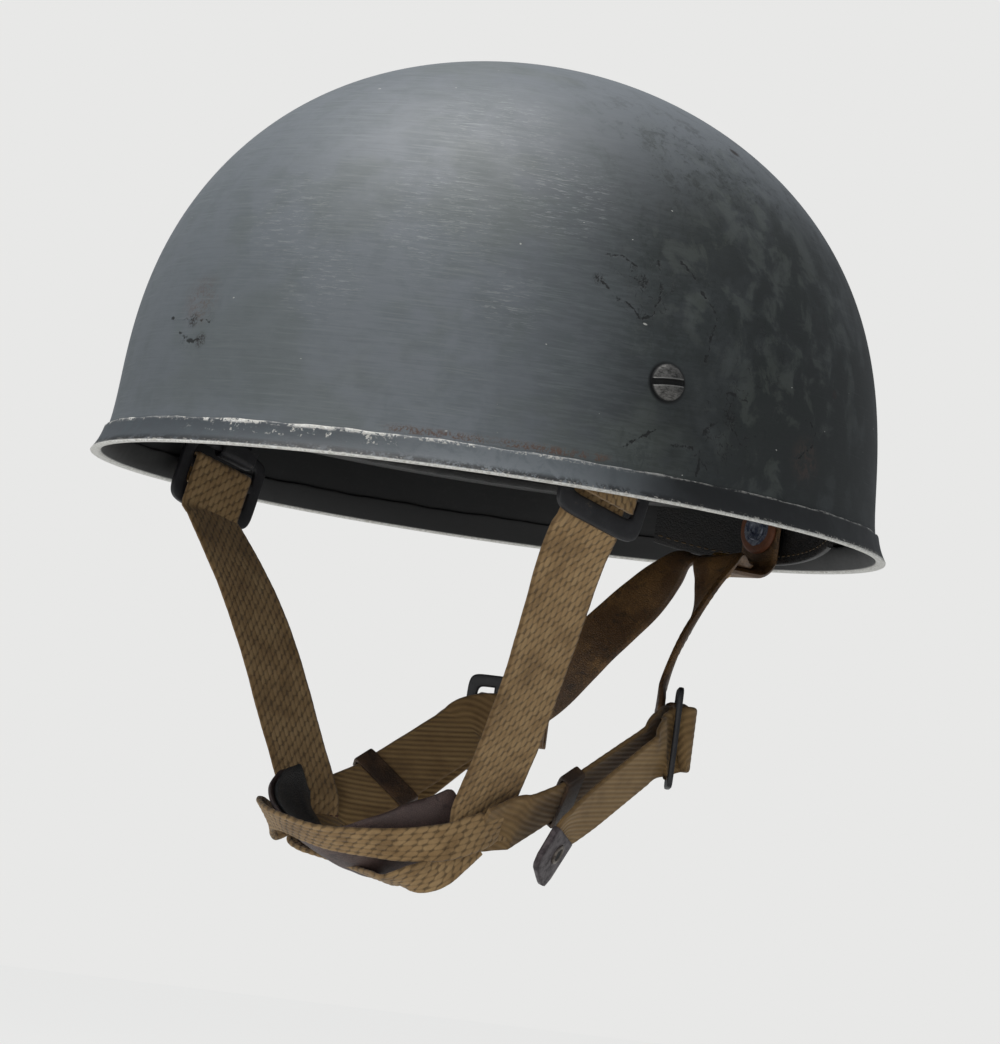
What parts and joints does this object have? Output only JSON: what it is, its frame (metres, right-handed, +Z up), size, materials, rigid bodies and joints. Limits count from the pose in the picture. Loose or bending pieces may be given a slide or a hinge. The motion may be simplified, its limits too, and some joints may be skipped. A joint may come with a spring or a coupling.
{
  "type": "paratrooper helmet",
  "caption": "Rimmed steel helmet for airborne troops, with an internal liner and a webbing and leather chin harness.",
  "frame": {"origin": "centre of the oval rim, in the plane of its lower edge, where a wearer's head enters", "axes": "+Z up through the crown, -Y to the front, +X to the wearer's left"},
  "size_m": [0.2488, 0.2888, 0.2861],
  "materials": {
    "shell_paint": "satin blue-grey paint, worn and scratched",
    "strip_paint": "satin paint, chipped to pale metal on its edges",
    "bare_steel": "dull bare steel",
    "black_steel": "black japanned steel",
    "brass": "dull brass",
    "fibre": "black vulcanised fibre",
    "rubber": "black rubber",
    "sponge": "grey sponge rubber",
    "black_leather": "black leather",
    "brown_leather": "dark brown harness leather",
    "cup_leather": "soft purple-brown leather",
    "tape": "tan cotton tape",
    "side_webbing": "coarse tan basket-weave webbing",
    "twill_webbing": "olive-tan twill webbing"
  },
  "bodies": {
    "helmet": {"shell": "shell_paint", "rim_strip": "strip_paint", "left_bolt": "bare_steel", "right_bolt": "bare_steel", "rear_bolt": "bare_steel", "bolt_washers": "bare_steel", "bolt_nuts": "brass", "distance_tubes": "bare_steel", "headband": "fibre", "rubber_buffers": "rubber", "sponge_ring": "sponge", "sweatband": "black_leather", "sweatband_rivets": "brass", "cradle_tape_1": "tape", "cradle_tape_2": "tape", "cradle_tape_3": "tape", "cradle_tape_4": "tape", "cradle_tape_5": "tape", "cradle_tape_6": "tape", "cradle_tape_7": "tape", "cradle_tape_8": "tape", "crown_lace": "tape", "crown_pad": "sponge", "rear_hanger": "black_steel", "nape_flap": "black_leather", "nape_disc": "bare_steel", "nape_tab": "brown_leather", "nape_rivet": "brass", "left_nape_arm": "brown_leather", "right_nape_arm": "brown_leather"},
    "chin_harness": {"left_hanger": "black_steel", "right_hanger": "black_steel", "left_loop": "black_steel", "right_loop": "black_steel", "left_side_strap": "side_webbing", "right_side_strap": "side_webbing", "chin_front_strap": "side_webbing", "chin_under_strap": "side_webbing", "chin_cup": "cup_leather", "chin_cup_lining": "black_leather", "left_rear_run": "twill_webbing", "right_rear_run": "twill_webbing", "left_slide": "black_steel", "right_slide": "black_steel", "left_nape_loop": "brown_leather", "right_nape_loop": "brown_leather"},
    "left_free_tail": {"left_tail": "twill_webbing", "left_tip": "bare_steel", "left_tip_eyelet": "brass"},
    "right_free_tail": {"right_tail": "twill_webbing", "right_tip": "bare_steel", "right_tip_eyelet": "brass"},
    "left_keeper_band": {"left_keeper": "brown_leather"},
    "right_keeper_band": {"right_keeper": "brown_leather"}
  },
  "joints": [
    {"name": "harness_swing", "type": "hinge", "parent": "helmet", "child": "chin_harness", "pos_m": [0, -0.02798, 0.03822], "axis": [1, 0, 0], "range_deg": [0, 15]},
    {"name": "left_tail_slide", "type": "slide", "parent": "chin_harness", "child": "left_free_tail", "axis": [0.0029, -0.772, -0.6356], "range_m": [0, 0.012]},
    {"name": "left_keeper_slide", "type": "slide", "parent": "chin_harness", "child": "left_keeper_band", "axis": [-0.0235, 0.8231, 0.5674], "range_m": [-0.005, 0.005]},
    {"name": "right_tail_slide", "type": "slide", "parent": "chin_harness", "child": "right_free_tail", "axis": [-0.0029, -0.772, -0.6356], "range_m": [0, 0.012]},
    {"name": "right_keeper_slide", "type": "slide", "parent": "chin_harness", "child": "right_keeper_band", "axis": [0.0235, 0.8231, 0.5674], "range_m": [-0.005, 0.005]}
  ]
}
